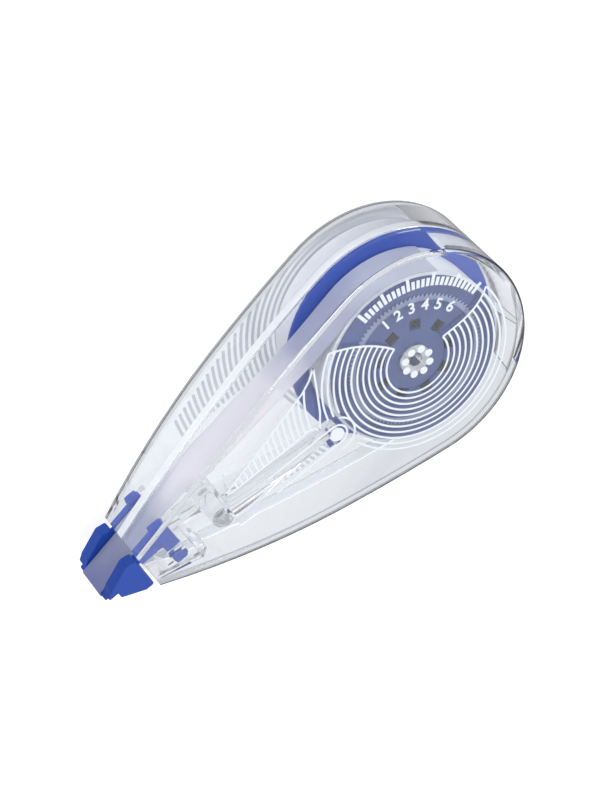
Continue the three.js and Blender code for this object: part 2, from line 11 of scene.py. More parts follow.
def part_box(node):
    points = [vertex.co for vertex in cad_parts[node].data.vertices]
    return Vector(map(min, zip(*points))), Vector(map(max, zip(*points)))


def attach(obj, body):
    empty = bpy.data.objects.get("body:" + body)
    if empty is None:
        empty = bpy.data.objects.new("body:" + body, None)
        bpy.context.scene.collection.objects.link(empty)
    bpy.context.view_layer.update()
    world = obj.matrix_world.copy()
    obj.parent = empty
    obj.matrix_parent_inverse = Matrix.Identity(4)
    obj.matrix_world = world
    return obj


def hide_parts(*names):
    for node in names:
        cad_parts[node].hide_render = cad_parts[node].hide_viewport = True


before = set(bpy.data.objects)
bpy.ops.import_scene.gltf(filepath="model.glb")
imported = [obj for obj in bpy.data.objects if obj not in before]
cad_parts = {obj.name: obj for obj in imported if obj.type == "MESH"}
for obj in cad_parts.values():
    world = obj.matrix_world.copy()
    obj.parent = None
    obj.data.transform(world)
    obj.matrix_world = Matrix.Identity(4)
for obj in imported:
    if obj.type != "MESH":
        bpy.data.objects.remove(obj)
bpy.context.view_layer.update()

bl_info = {
    "name": "Correction tape roller",
    "version": (1, 0, 0),
    "blender": (4, 5, 0),
    "location": "View3D > Sidebar > Tape roller",
    "description": "Dresses the solids of a correction tape roller with finished pieces and materials",
    "category": "Object",
}

MM = 0.001

# Sizes read from the solids
CASE_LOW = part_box("back_case")[0]
CASE_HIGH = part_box("front_case")[1]
FACE_Z = CASE_HIGH.z
SEAM_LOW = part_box("front_case")[0].z

# Places and sizes of features on the solids
SEAM_HIGH = 6.97 * MM
AXLE = Vector((0.0, 0.0))
AXLE_REACH = 4.0 * MM
POST = Vector((30.0, 0.1)) * MM
POST_REACH = 2.5 * MM
EDGE_ROUND = 0.4 * MM
TAPER_START, TAPER_DROP = 18.0 * MM, 1.9 * MM
MOUTH = 41.2 * MM
TEETH_LOW, TEETH_HIGH = 8.1 * MM, 9.3 * MM


# Settings

def length_property(name, description, default):
    return FloatProperty(name=name, description=description, default=default, unit="LENGTH")


def colour_property(name, description, default):
    return FloatVectorProperty(name=name, description=description, default=default, subtype="COLOR")


class PrintSettings(bpy.types.PropertyGroup):
    """Sizes of the white print on the case."""

    first_radius: length_property("First ring", "Radius of the innermost ring", 4.29 * MM)
    step: length_property("Ring step", "Distance between neighbouring rings", 0.8 * MM)
    line: length_property("Line width", "Width of a printed ring", 0.27 * MM)
    ink: length_property("Ink height", "How far the ink stands on the face", 0.02 * MM)
    rings: IntProperty(
        name="Full rings", description="Rings that run from blade to blade", default=9, min=1)
    back_line: length_property("Back line width", "Width of a ring on the back", 0.4 * MM)
    dot_ring: length_property("Dot ring", "Radius of the ring of dots", 1.74 * MM)
    dot: length_property("Dot radius", "Radius of a printed dot", 0.5 * MM)
    dots: IntProperty(name="Dots", description="Dots round the axle", default=8, min=3)
    ticks: IntProperty(name="Ticks", description="Marks on the scale", default=26, min=2)


class FinishSettings(bpy.types.PropertyGroup):
    """Colours and edge sizes of the pieces."""

    clear: colour_property("Clear plastic", "Tint of the case", (0.935, 0.948, 0.965))
    # Painted shade: the dark that the clear plastic's colour turns to where it is seen edge on, and that its
    # faces take for light from inside
    outline: colour_property("Outline", "Tint of the case where it is seen edge on", (0.02, 0.022, 0.026))
    post: colour_property("Guide post", "Tint of the guide post", (0.52, 0.55, 0.58))
    rim: colour_property("Rims", "Light that the clear rims show", (0.74, 0.76, 0.80))
    # Painted shade: the grey of the lines along the case's edges at its lips
    lip: colour_property("Lip", "Tint of the case along the back shell's lower edge", (0.09, 0.095, 0.105))
    blue: colour_property("Blue plastic", "Colour of tip and reels", (0.008, 0.055, 0.36))
    roll: colour_property("Wound tape", "Colour of the roll", (0.74, 0.77, 0.79))
    ink: colour_property("Ink", "Colour of the print", (0.76, 0.81, 0.88))
    # Painted shade: the back print is the white ink in a darker grey, for the shade it lies in under the case
    back_ink: colour_property("Back ink", "Colour of the print on the back", (0.62, 0.61, 0.66))
    # Painted light: the drum's front faces get this lighter blue, for the dim light that reaches them inside
    # the case
    drum_face: colour_property("Drum face", "Colour of the take-up reel's disc", (0.010, 0.06, 0.38))
    spool: colour_property("Spool plastic", "Colour of the supply spool", (0.030, 0.062, 0.21))
    # Painted highlight: the lighter colour of the tops of the fine teeth
    teeth: colour_property("Tooth tops", "Colour of the ring of fine teeth", (0.22, 0.26, 0.40))
    rubber: colour_property("Clutch rubber", "Colour of the clutch ring", (0.014, 0.022, 0.032))
    eased: length_property("Eased edge", "Width of the eased edges", 0.07 * MM)


class StageSettings(bpy.types.PropertyGroup):
    """Camera, floor and light."""

    lens: FloatProperty(name="Lens", description="Focal length in mm", default=135.0)
    camera: FloatVectorProperty(
        name="Camera place", description="Where the camera stands", subtype="TRANSLATION", unit="LENGTH",
        default=(28.88 * MM, -249.11 * MM, 275.96 * MM))
    forward: FloatVectorProperty(
        name="View direction", description="Where the camera looks", subtype="DIRECTION",
        default=(-0.04137, 0.67643, -0.73534))
    up: FloatVectorProperty(
        name="View up", description="Direction that is up in the picture", subtype="DIRECTION",
        default=(-0.64108, -0.58246, -0.49974))
    floor: length_property("Floor size", "Side of the floor", 4.0)
    world: FloatProperty(name="Sky", description="Strength of the even light", default=0.95)
    panel: FloatProperty(
        name="Far panel", description="Extra strength of the light that the front face mirrors", default=0.55)
    glow: FloatProperty(
        name="Floor glow", description="Light that the floor gives off by itself", default=0.58)
    camera_glow: FloatProperty(
        name="Backdrop glow", description="Further light that keeps the floor white in the picture",
        default=0.13)
    spot_place: FloatVectorProperty(
        name="White spot", description="Middle of the floor that shows white through the case",
        subtype="TRANSLATION", unit="LENGTH", default=(0.022, 0.025, 0.0))
    spot_size: FloatVectorProperty(
        name="White spot size", description="Half lengths of that part of the floor",
        unit="LENGTH", default=(0.048, 0.040, 1.0))


def printing():
    return bpy.context.scene.roller_print


def finishes():
    return bpy.context.scene.roller_finish


def staging():
    return bpy.context.scene.roller_stage


# Node trees

NODE_ROWS = 4
NODE_STEP_X, NODE_STEP_Y = 220, 260


class TreeMaker:
    """Short forms for making the nodes of one tree and joining them."""

    def __init__(self, tree):
        self.tree = tree

    def put(self, socket, value):
        """Joins a socket to another one or gives it a value; a colour is written without its alpha."""
        if isinstance(value, bpy.types.NodeSocket):
            self.tree.links.new(value, socket)
        elif socket.type == "RGBA":
            socket.default_value = (*value, 1.0)
        else:
            socket.default_value = value

    def node(self, kind, inputs=None, **settings):
        """A new node, placed in rows and columns, with its settings and then its inputs filled in."""
        node = self.tree.nodes.new(kind)
        column, row = divmod(len(self.tree.nodes) - 1, NODE_ROWS)
        node.location = (column * NODE_STEP_X, -row * NODE_STEP_Y)
        for key, value in settings.items():
            setattr(node, key, value)
        for label, value in (inputs or {}).items():
            self.put(node.inputs[label], value)
        return node

    def math(self, operation, *values, clamp=False):
        inputs = dict(enumerate(values))
        return self.node("ShaderNodeMath", inputs, operation=operation, use_clamp=clamp).outputs[0]

    def point(self, x, y, z):
        return self.node("ShaderNodeCombineXYZ", {"X": x, "Y": y, "Z": z}).outputs[0]

    def on_circle(self, radius, turn, height):
        """A point at a radius and an angle round the axle."""
        x = self.math("MULTIPLY", radius, self.math("COSINE", turn))
        y = self.math("MULTIPLY", radius, self.math("SINE", turn))
        return self.point(x, y, height)

    def split(self, vector):
        """The outputs X, Y and Z of a vector."""
        return self.node("ShaderNodeSeparateXYZ", {"Vector": vector}).outputs

    def object_place(self):
        return self.node("ShaderNodeTexCoord").outputs["Object"]

    def noise(self, place, scale, detail):
        inputs = {"Vector": place, "Scale": scale, "Detail": detail}
        return self.node("ShaderNodeTexNoise", inputs).outputs["Fac"]

    def ranged(self, value, start, end, low=0.0, high=1.0, change="SMOOTHSTEP"):
        """Goes from low to high while the value goes from start to end, and stays there outside them."""
        inputs = {"Value": value, "From Min": start, "From Max": end, "To Min": low, "To Max": high}
        return self.node("ShaderNodeMapRange", inputs, interpolation_type=change).outputs["Result"]

    def ramp(self, factor, stops):
        """The colour that belongs to a place from 0 to 1, given colours at some of the places."""
        node = self.node("ShaderNodeValToRGB", {"Fac": factor})
        elements = node.color_ramp.elements
        while len(elements) < len(stops):
            elements.new(0.5)
        for element, (place, colour) in zip(elements, stops):
            element.position = place
            element.color = (*colour, 1.0)
        return node.outputs["Color"]

    def colour_between(self, factor, low, high):
        """A colour that runs from low to high with the factor."""
        inputs = {"Factor": factor, "A": low, "B": high}
        return self.node("ShaderNodeMix", inputs, data_type="RGBA").outputs["Result"]

    def shader_between(self, factor, first, second):
        return self.node("ShaderNodeMixShader", {0: factor, 1: first, 2: second}).outputs["Shader"]


# Materials

SURFACE_INPUTS = {"Grain": 2500.0, "Wave": 160.0, "Roughness": 0.3, "Spread": 0.08, "Bump": 0.1}
SURFACE_OUTPUTS = {"Roughness": "NodeSocketFloat", "Normal": "NodeSocketVector", "Mask": "NodeSocketFloat"}
GRAIN_DETAIL, WAVE_DETAIL = 3.0, 1.0
GRAIN_HEIGHT = 0.25
BUMP_DEPTH = 0.02 * MM


def moulded_surface_group():
    """Fine moulding waves and specks: a roughness and a normal that change over the surface."""
    name = "moulded_surface"
    if name in bpy.data.node_groups:
        return bpy.data.node_groups[name]
    tree = bpy.data.node_groups.new(name, "ShaderNodeTree")
    for label, value in SURFACE_INPUTS.items():
        socket = tree.interface.new_socket(label, in_out="INPUT", socket_type="NodeSocketFloat")
        socket.default_value = value
    for label, kind in SURFACE_OUTPUTS.items():
        tree.interface.new_socket(label, in_out="OUTPUT", socket_type=kind)
    make = TreeMaker(tree)
    size = make.node("NodeGroupInput").outputs
    place = make.object_place()
    grain = make.noise(place, size["Grain"], GRAIN_DETAIL)
    wave = make.noise(place, size["Wave"], WAVE_DETAIL)
    rough = make.math("MULTIPLY_ADD", make.math("SUBTRACT", grain, 0.5), size["Spread"], size["Roughness"])
    height = make.math("MULTIPLY_ADD", grain, GRAIN_HEIGHT, wave)
    bump = make.node("ShaderNodeBump", {"Strength": size["Bump"], "Distance": BUMP_DEPTH, "Height": height})
    make.node("NodeGroupOutput", {"Roughness": rough, "Normal": bump.outputs["Normal"], "Mask": wave})
    return tree


def new_material(name):
    """A material with its tree, its Principled shader and its output."""
    material = bpy.data.materials.new(f"{name}_look")
    material.use_nodes = True
    material.node_tree.nodes.clear()
    make = TreeMaker(material.node_tree)
    shader = make.node("ShaderNodeBsdfPrincipled")
    output = make.node("ShaderNodeOutputMaterial", {"Surface": shader.outputs["BSDF"]})
    return material, make, shader, output


def add_surface(make, shader, **values):
    """Gives a shader the moulded surface, and returns the mask of its slow waves."""
    group = make.node("ShaderNodeGroup", values, node_tree=moulded_surface_group()).outputs
    make.put(shader.inputs["Roughness"], group["Roughness"])
    make.put(shader.inputs["Normal"], group["Normal"])
    return group["Mask"]


# After so many bounces a ray ends in the rims' light, which dims with the length of its last leg
MOST_BOUNCES = 5.0
RIM_NEAR, RIM_FAR = 1.0 * MM, 7.0 * MM
RIM_DIMMEST = 0.35
SHADOW_TINT = (0.94, 0.945, 0.955)


def let_light_through(make, surface, output):
    """Shadow rays pass the clear plastic, so what lies inside is lit as the outside is.

    A ray that is still caught in the walls after several bounces ends in a pale light, darker where its
    last leg was long, so the rims show grey streaks and aren't black.
    """
    path = make.node("ShaderNodeLightPath").outputs
    strength = make.ranged(path["Ray Length"], RIM_NEAR, RIM_FAR, 1.0, RIM_DIMMEST)
    rim = make.node("ShaderNodeEmission", {"Color": finishes().rim, "Strength": strength})
    caught = make.math("GREATER_THAN", path["Ray Depth"], MOST_BOUNCES)
    body = make.shader_between(caught, surface, rim.outputs["Emission"])
    window = make.node("ShaderNodeBsdfTransparent", {"Color": SHADOW_TINT})
    passed = make.shader_between(path["Is Shadow Ray"], body, window.outputs["BSDF"])
    make.put(output.inputs["Surface"], passed)


# How far a lip reaches from its face, and the painted shade the upper one adds for light from inside
LIP_REACH = 2.0 * MM
LIP_INSIDE_SHADE = 0.6

# Heights as shares of the reach, each with how strong the painted grey shade is there
LOWER_LIP_SHADE_STOPS = (
    (0.0, 0.0), (0.09, 1.0), (0.16, 1.0), (0.20, 0.3),
    (0.25, 0.3), (0.28, 1.0), (0.38, 1.0), (0.43, 0.0),
)
UPPER_LIP_SHADE_STOPS = ((0.0, 0.0), (0.01, 0.0), (0.025, 1.0), (0.65, 1.0), (0.85, 0.0))

# Places along Y between which the upper lip's painted grey line comes in
FAR_HALF_START, FAR_HALF_FULL = 1.0 * MM, 7.0 * MM


def lip_shade_share(make, attribute, stops):
    """The painted grey shade at a point of the lip along a face, by the point's height over that face."""
    height = make.node("ShaderNodeAttribute", attribute_name=attribute).outputs["Fac"]
    share = make.ranged(height, 0.0, LIP_REACH, change="LINEAR")
    return make.ramp(share, [(place, (grey, grey, grey)) for place, grey in stops])


def painted_lip_shade(make, colour):
    """The colour with grey lines of painted shade where the walls thicken into a lip, and the mask of the
    upper one.

    Two run round the back shell's lower edge, and one along the far half of the front shell's upper edge.
    """
    far_half = make.ranged(make.split(make.object_place())["Y"], FAR_HALF_START, FAR_HALF_FULL)
    upper = make.math("MULTIPLY", lip_shade_share(make, "below_front", UPPER_LIP_SHADE_STOPS), far_half)
    both = make.math("MAXIMUM", lip_shade_share(make, "above_back", LOWER_LIP_SHADE_STOPS), upper)
    return make.colour_between(both, colour, finishes().lip), upper


def shade_from_inside(make, surface, share, lip):
    """The surface, darkened with painted shade by a share, or more in the lip, for light from inside."""
    amount = make.math("MULTIPLY_ADD", lip, LIP_INSIDE_SHADE, share, clamp=True)
    from_inside = make.node("ShaderNodeNewGeometry").outputs["Backfacing"]
    dark = make.node("ShaderNodeBsdfDiffuse", {"Color": finishes().outline})
    return make.shader_between(make.math("MULTIPLY", from_inside, amount), surface, dark.outputs["BSDF"])


CLEAR_IOR = 1.57


def clear_plastic(name, roughness, bump, tint=None, clearness=1.0, turned_away=0.75, fade=0.2, inside_shade=0.0,
                  lip=False):
    """Clear plastic with painted shade: darker where it turns away from the eye by more than the given share.

    With a lip, it has the case's grey lines of painted shade, and a share of painted shade for light from
    inside.
    """
    material, make, shader, output = new_material(name)
    facing = make.node("ShaderNodeLayerWeight").outputs["Facing"]
    grazing = make.ranged(facing, turned_away, turned_away + fade)
    colour = make.colour_between(grazing, tint or finishes().clear, finishes().outline)
    surface = shader.outputs["BSDF"]
    if lip:
        colour, upper_lip_shade = painted_lip_shade(make, colour)
        surface = shade_from_inside(make, surface, inside_shade, upper_lip_shade)
    make.put(shader.inputs["Base Color"], colour)
    shader.inputs["Transmission Weight"].default_value = clearness
    shader.inputs["IOR"].default_value = CLEAR_IOR
    add_surface(make, shader, Grain=900.0, Wave=90.0, Roughness=roughness, Spread=0.02, Bump=bump)
    let_light_through(make, surface, output)
    return material


def shaded(colour, factor):
    """A colour made darker or lighter by a factor."""
    return [min(1.0, channel * factor) for channel in colour]


def solid_look(name, colour, darkest, lightest, specular=0.5, **surface):
    """An opaque material whose colour drifts between two shades with the slow waves of its surface."""
    material, make, shader, _ = new_material(name)
    mask = add_surface(make, shader, **surface)
    drift = make.colour_between(mask, shaded(colour, darkest), shaded(colour, lightest))
    make.put(shader.inputs["Base Color"], drift)
    shader.inputs["Specular IOR Level"].default_value = specular
    return material


def moulded_plastic(name, colour):
    return solid_look(name, colour, darkest=0.88, lightest=1.1, specular=0.4,
                      Grain=3000.0, Wave=220.0, Roughness=0.34, Spread=0.1, Bump=0.12)


def printed_ink(name, colour):
    return solid_look(name, colour, darkest=0.95, lightest=1.0,
                      Grain=5000.0, Wave=700.0, Roughness=0.5, Spread=0.2, Bump=0.1)


def clutch_rubber(name):
    return solid_look(name, finishes().rubber, darkest=1.0, lightest=2.0,
                      Grain=4000.0, Wave=500.0, Roughness=0.7, Spread=0.2, Bump=0.2)


# How much lighter every other ring on the roll is
RING_CONTRAST = 1.12


def wound_tape(name):
    """Tape seen on the roll: its edges show as very fine rings round the axle."""
    material, make, shader, _ = new_material(name)
    texture = {"Vector": make.object_place(), "Scale": 900.0, "Distortion": 0.6, "Detail Scale": 40.0}
    rings = make.node("ShaderNodeTexWave", texture, wave_type="RINGS", rings_direction="Z").outputs["Fac"]
    colour = finishes().roll
    make.put(shader.inputs["Base Color"], make.colour_between(rings, colour, shaded(colour, RING_CONTRAST)))
    add_surface(make, shader, Grain=1500.0, Wave=300.0, Roughness=0.45, Spread=0.1, Bump=0.08)
    return material


# Colours of the two films, at places along X in millimetres
# The tape's changes of colour are painted light and shade, darkest and bluest at the tip
TAPE_STOPS = (
    (-12.0, (0.62, 0.66, 0.74)),
    (-4.0, (0.50, 0.53, 0.64)),
    (4.0, (0.36, 0.38, 0.51)),
    (9.0, (0.34, 0.36, 0.49)),
    (16.0, (0.70, 0.67, 0.73)),
    (30.0, (0.70, 0.67, 0.73)),
    (38.0, (0.33, 0.35, 0.45)),
    (48.0, (0.17, 0.20, 0.42)),
)
LINER_STOPS = (
    (-12.0, (0.78, 0.79, 0.84)),
    (48.0, (0.80, 0.81, 0.86)),
)
CLOUD_SCALE, CLOUD_DETAIL = 220.0, 2.0
CLOUD_SHIFT = 9.0 * MM


def tape_film(name, stops, roughness, alpha):
    """Thin film whose colour changes along X, with the places of the changes shifted in clouds."""
    material, make, shader, _ = new_material(name)
    place = make.object_place()
    clouds = make.noise(place, CLOUD_SCALE, CLOUD_DETAIL)
    along = make.math("MULTIPLY_ADD", clouds, CLOUD_SHIFT, make.split(place)["X"])
    first, last = stops[0][0], stops[-1][0]
    middle = CLOUD_SHIFT / 2
    share = make.ranged(along, first * MM + middle, last * MM + middle, change="LINEAR")
    colour = make.ramp(share, [((x - first) / (last - first), shade) for x, shade in stops])
    make.put(shader.inputs["Base Color"], colour)
    add_surface(make, shader, Grain=1200.0, Wave=260.0, Roughness=roughness, Spread=0.1, Bump=0.1)
    shader.inputs["Alpha"].default_value = alpha
    return material


MAKERS = {
    "clear_case": lambda name: clear_plastic(name, roughness=0.02, bump=0.004, lip=True),
    "seam_band": lambda name: clear_plastic(name, roughness=0.3, bump=0.1, clearness=0.5),
    # Painted shade: the round edges darken soon after they turn away from the eye, and darken for light from
    # inside
    "case_rim": lambda name: clear_plastic(
        name, roughness=0.02, bump=0.0, turned_away=0.28, fade=0.06, inside_shade=0.5, lip=True),
    "post_plastic": lambda name: clear_plastic(name, roughness=0.05, bump=0.05, tint=finishes().post),
    "drum_face": lambda name: moulded_plastic(name, finishes().drum_face),
    "blue_plastic": lambda name: moulded_plastic(name, finishes().blue),
    "spool_plastic": lambda name: moulded_plastic(name, finishes().spool),
    "worn_teeth": lambda name: moulded_plastic(name, finishes().teeth),
    "wound_tape": wound_tape,
    "tape_film": lambda name: tape_film(name, TAPE_STOPS, roughness=0.42, alpha=0.85),
    "used_liner": lambda name: tape_film(name, LINER_STOPS, roughness=0.35, alpha=0.14),
    "liner_turns": lambda name: tape_film(name, LINER_STOPS, roughness=0.4, alpha=0.85),
    "white_ink": lambda name: printed_ink(name, finishes().ink),
    "back_ink": lambda name: printed_ink(name, finishes().back_ink),
    "clutch_rubber": clutch_rubber,
}


def material_named(name):
    return bpy.data.materials.get(f"{name}_look") or MAKERS[name](name)


# Mesh parts

MERGE_REACH = 0.001 * MM
FLAT_ANGLE = math.radians(0.4)
BEVEL_STEPS = 2

# Edges sharper than this many degrees stay creased, on the mouldings and on the films
MOULDING_SHARP, FILM_SHARP = 35.0, 50.0


def add_object(name, data):
    """Puts a mesh, a curve, a camera or a lamp in the scene."""
    thing = bpy.data.objects.new(name, data)
    bpy.context.scene.collection.objects.link(thing)
    return thing


def piece_from(shape, name):
    """Ends a mesh that is being built, and puts it in the scene."""
    mesh = bpy.data.meshes.new(name)
    shape.to_mesh(mesh)
    shape.free()
    return add_object(name, mesh)


def evaluated_mesh(piece):
    graph = bpy.context.evaluated_depsgraph_get()
    return bpy.data.meshes.new_from_object(piece.evaluated_get(graph))


def applied(piece):
    """The piece with its modifiers worked into the mesh."""
    mesh = evaluated_mesh(piece)
    piece.modifiers.clear()
    piece.data = mesh
    return piece


def smooth_by_angle(mesh, degrees):
    for polygon in mesh.polygons:
        polygon.use_smooth = True
    mesh.set_sharp_from_angle(angle=math.radians(degrees))


def finished_copy(node, name, eased=0.0, sharp=MOULDING_SHARP):
    """A copy of a solid's mesh with doubles merged, flat faces joined and edges eased."""
    shape = bmesh.new()
    shape.from_mesh(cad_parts[node].data)
    bmesh.ops.remove_doubles(shape, verts=shape.verts, dist=MERGE_REACH)
    bmesh.ops.dissolve_limit(shape, angle_limit=FLAT_ANGLE, verts=shape.verts, edges=shape.edges)
    piece = piece_from(shape, name)
    if eased:
        bevel = piece.modifiers.new("eased", "BEVEL")
        bevel.width = eased
        bevel.segments = BEVEL_STEPS
        bevel.limit_method = "ANGLE"
        bevel.angle_limit = math.radians(sharp)
        bevel.use_clamp_overlap = True
        applied(piece)
    smooth_by_angle(piece.data, sharp)
    weighted = piece.modifiers.new("weighted", "WEIGHTED_NORMAL")
    weighted.keep_sharp = True
    return applied(piece)


def hand_over(piece, body, slot, material, *nodes):
    """Gives a finished piece its material and body, and hides the solids that it stands for."""
    piece.data.materials.clear()
    piece.data.materials.append(material_named(material))
    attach(piece, body)
    if nodes:
        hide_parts(*nodes)
    return piece


def dress(node, name, body, slot, material, **finish):
    """A finished copy of a solid, handed over to take the solid's place."""
    return hand_over(finished_copy(node, name, **finish), body, slot, material, node)


def strip_mesh(shape, points, width, low, high):
    """Adds a flat strip along points in the plane, from low to high in Z."""
    count = len(points)
    rows = []
    for i, point in enumerate(points):
        back, ahead = points[max(0, i - 1)], points[min(count - 1, i + 1)]
        along = (Vector(ahead) - Vector(back)).normalized()
        side = Vector((-along.y, along.x)) * (width / 2)
        left, right = Vector(point) + side, Vector(point) - side
        corners = ((left, low), (right, low), (right, high), (left, high))
        rows.append([shape.verts.new((*place, z)) for place, z in corners])
    for here, there in zip(rows, rows[1:]):
        for i in range(4):
            j = (i + 1) % 4
            shape.faces.new((here[i], there[i], there[j], here[j]))
    shape.faces.new(rows[0])
    shape.faces.new(rows[-1][::-1])


def polar(radius, degrees, centre=(0.0, 0.0)):
    turn = math.radians(degrees)
    return Vector((centre[0] + radius * math.cos(turn), centre[1] + radius * math.sin(turn)))


def arc_points(radius, start, end, steps, centre=(0.0, 0.0)):
    return [polar(radius, start + (end - start) * i / steps, centre) for i in range(steps + 1)]


# Geometry Nodes

def geometry_tree(name, inputs):
    """A tree with a geometry output and one named input for each size."""
    tree = bpy.data.node_groups.new(name, "GeometryNodeTree")
    tree.interface.new_socket("Geometry", in_out="OUTPUT", socket_type="NodeSocketGeometry")
    kinds = {int: "NodeSocketInt", float: "NodeSocketFloat", bpy.types.Material: "NodeSocketMaterial"}
    for label, kind in inputs.items():
        tree.interface.new_socket(label, in_out="INPUT", socket_type=kinds[kind])
    return tree


def end_tree(make, geometry, ink):
    """Closes a tree with its material and its output."""
    inked = make.node("GeometryNodeSetMaterial", {"Geometry": geometry, "Material": ink})
    make.node("NodeGroupOutput", {"Geometry": inked.outputs["Geometry"]})
    return make.tree


def evaluated_tree(name, tree, values):
    """Runs a tree with the given input values and keeps the result as a plain mesh."""
    piece = add_object(name, bpy.data.meshes.new(name))
    modifier = piece.modifiers.new(tree.name, "NODES")
    modifier.node_group = tree
    for item in tree.interface.items_tree:
        if item.item_type == "SOCKET" and item.in_out == "INPUT":
            modifier[item.identifier] = values[item.name]
    return applied(piece)


def ring_band_tree():
    """Raised rings round the axle; a ring's ends change with its number or lie on a straight edge.

    Start and End are the ends' angles. With an edge distance above 0 they are the edge's normal plus 90
    degrees, and each ring starts or ends where it crosses that edge.
    """
    name = "ring_band"
    if name in bpy.data.node_groups:
        return bpy.data.node_groups[name]
    make = TreeMaker(geometry_tree(name, {
        "Rings": int, "Segments": int, "First Radius": float, "Step": float, "Line": float,
        "Start": float, "Start Step": float, "Start Edge": float, "End": float, "End Step": float,
        "End Curve": float, "End Edge": float, "Low": float, "High": float, "Ink": bpy.types.Material}))
    size = make.node("NodeGroupInput").outputs
    line = make.node("GeometryNodeMeshLine", {
        "Count": size["Rings"], "Offset": (0.0, 0.0, 0.0)}, mode="OFFSET")
    number = make.node("GeometryNodeCaptureAttribute", domain="POINT")
    number.capture_items.new("INT", "Ring")
    make.put(number.inputs["Geometry"], line.outputs["Mesh"])
    make.put(number.inputs["Ring"], make.node("GeometryNodeInputIndex").outputs[0])
    grid = make.node("GeometryNodeMeshGrid", {"Vertices X": size["Segments"], "Vertices Y": 2})
    copies = make.node("GeometryNodeInstanceOnPoints", {
        "Points": number.outputs["Geometry"], "Instance": grid.outputs["Mesh"]})
    real = make.node("GeometryNodeRealizeInstances", {"Geometry": copies.outputs["Instances"]})
    across = make.split(make.node("GeometryNodeInputPosition").outputs[0])
    along = make.math("ADD", across["X"], 0.5)
    ring = number.outputs["Ring"]
    middle = make.math("MULTIPLY_ADD", ring, size["Step"], size["First Radius"])
    radius = make.math("MULTIPLY_ADD", across["Y"], size["Line"], middle)
    bend = make.math("MULTIPLY", make.math("MULTIPLY", ring, ring), size["End Curve"])
    even_start = make.math("MULTIPLY_ADD", ring, size["Start Step"], size["Start"])
    even_end = make.math("ADD", make.math("MULTIPLY_ADD", ring, size["End Step"], size["End"]), bend)
    ends = []
    for even, edge in ((even_start, "Start Edge"), (even_end, "End Edge")):
        reach = make.math("DEGREES", make.math("ARCCOSINE", make.math("DIVIDE", size[edge], middle)))
        ends.append(make.math("ADD", even, make.math("SUBTRACT", reach, 90.0)))
    start, end = ends
    turn = make.math("RADIANS", make.math("MULTIPLY_ADD", along, make.math("SUBTRACT", end, start), start))
    place = make.on_circle(radius, turn, size["Low"])
    flat = make.node("GeometryNodeSetPosition", {
        "Geometry": real.outputs["Geometry"], "Position": place}).outputs["Geometry"]
    rise = make.point(0.0, 0.0, make.math("SUBTRACT", size["High"], size["Low"]))
    thick = make.node("GeometryNodeExtrudeMesh", {
        "Mesh": flat, "Offset": rise, "Individual": False}, mode="FACES")
    under = make.node("GeometryNodeFlipFaces", {"Mesh": flat})
    both = make.node("GeometryNodeJoinGeometry", {"Geometry": thick.outputs["Mesh"]})
    make.put(both.inputs["Geometry"], under.outputs["Mesh"])
    merged = make.node("GeometryNodeMergeByDistance", {
        "Geometry": both.outputs["Geometry"], "Distance": MERGE_REACH})
    return end_tree(make, merged.outputs["Geometry"], size["Ink"])


def polar_marks_tree():
    """Copies of a small round or long mark on an arc; every fifth one may be longer."""
    name = "polar_marks"
    if name in bpy.data.node_groups:
        return bpy.data.node_groups[name]
    make = TreeMaker(geometry_tree(name, {
        "Count": int, "Sides": int, "Radius": float, "Start": float, "End": float, "Mark Radius": float,
        "Length": float, "Fifth Length": float, "Low": float, "High": float, "Ink": bpy.types.Material}))
    size = make.node("NodeGroupInput").outputs
    line = make.node("GeometryNodeMeshLine", {"Count": size["Count"]}, mode="OFFSET")
    number = make.node("GeometryNodeInputIndex").outputs[0]
    share = make.math("DIVIDE", number, make.math("SUBTRACT", size["Count"], 1.0))
    span = make.math("SUBTRACT", size["End"], size["Start"])
    turn = make.math("RADIANS", make.math("MULTIPLY_ADD", share, span, size["Start"]))
    fifth = make.math("LESS_THAN", make.math("MODULO", number, 5.0), 0.5)
    longer = make.math("SUBTRACT", size["Fifth Length"], size["Length"])
    length = make.math("MULTIPLY_ADD", fifth, longer, size["Length"])
    radius = make.math("MULTIPLY_ADD", length, 0.5, size["Radius"])
    middle = make.math("MULTIPLY", make.math("ADD", size["Low"], size["High"]), 0.5)
    place = make.node("GeometryNodeSetPosition", {
        "Geometry": line.outputs["Mesh"], "Position": make.on_circle(radius, turn, middle)})
    half_side = make.math("DIVIDE", math.pi, size["Sides"])
    corner = make.math("DIVIDE", 1.0, make.math("COSINE", half_side))
    mark = make.node("GeometryNodeMeshCylinder", {"Vertices": size["Sides"], "Radius": corner, "Depth": 1.0})
    squared = make.node("GeometryNodeTransform", {
        "Geometry": mark.outputs["Mesh"], "Rotation": make.point(0.0, 0.0, half_side)})
    half = make.math("ADD", make.math("MULTIPLY", length, 0.5), size["Mark Radius"])
    depth = make.math("SUBTRACT", size["High"], size["Low"])
    copies = make.node("GeometryNodeInstanceOnPoints", {
        "Points": place.outputs["Geometry"], "Instance": squared.outputs["Geometry"],
        "Rotation": make.point(0.0, 0.0, turn), "Scale": make.point(half, size["Mark Radius"], depth)})
    real = make.node("GeometryNodeRealizeInstances", {"Geometry": copies.outputs["Instances"]})
    return end_tree(make, real.outputs["Geometry"], size["Ink"])


def joined(name, pieces):
    """One mesh object from several, with all faces turned outwards and no material yet."""
    shape = bmesh.new()
    for piece in pieces:
        shape.from_mesh(piece.data)
    bmesh.ops.recalc_face_normals(shape, faces=shape.faces)
    for piece in pieces:
        bpy.data.objects.remove(piece)
    return piece_from(shape, name)


# Print

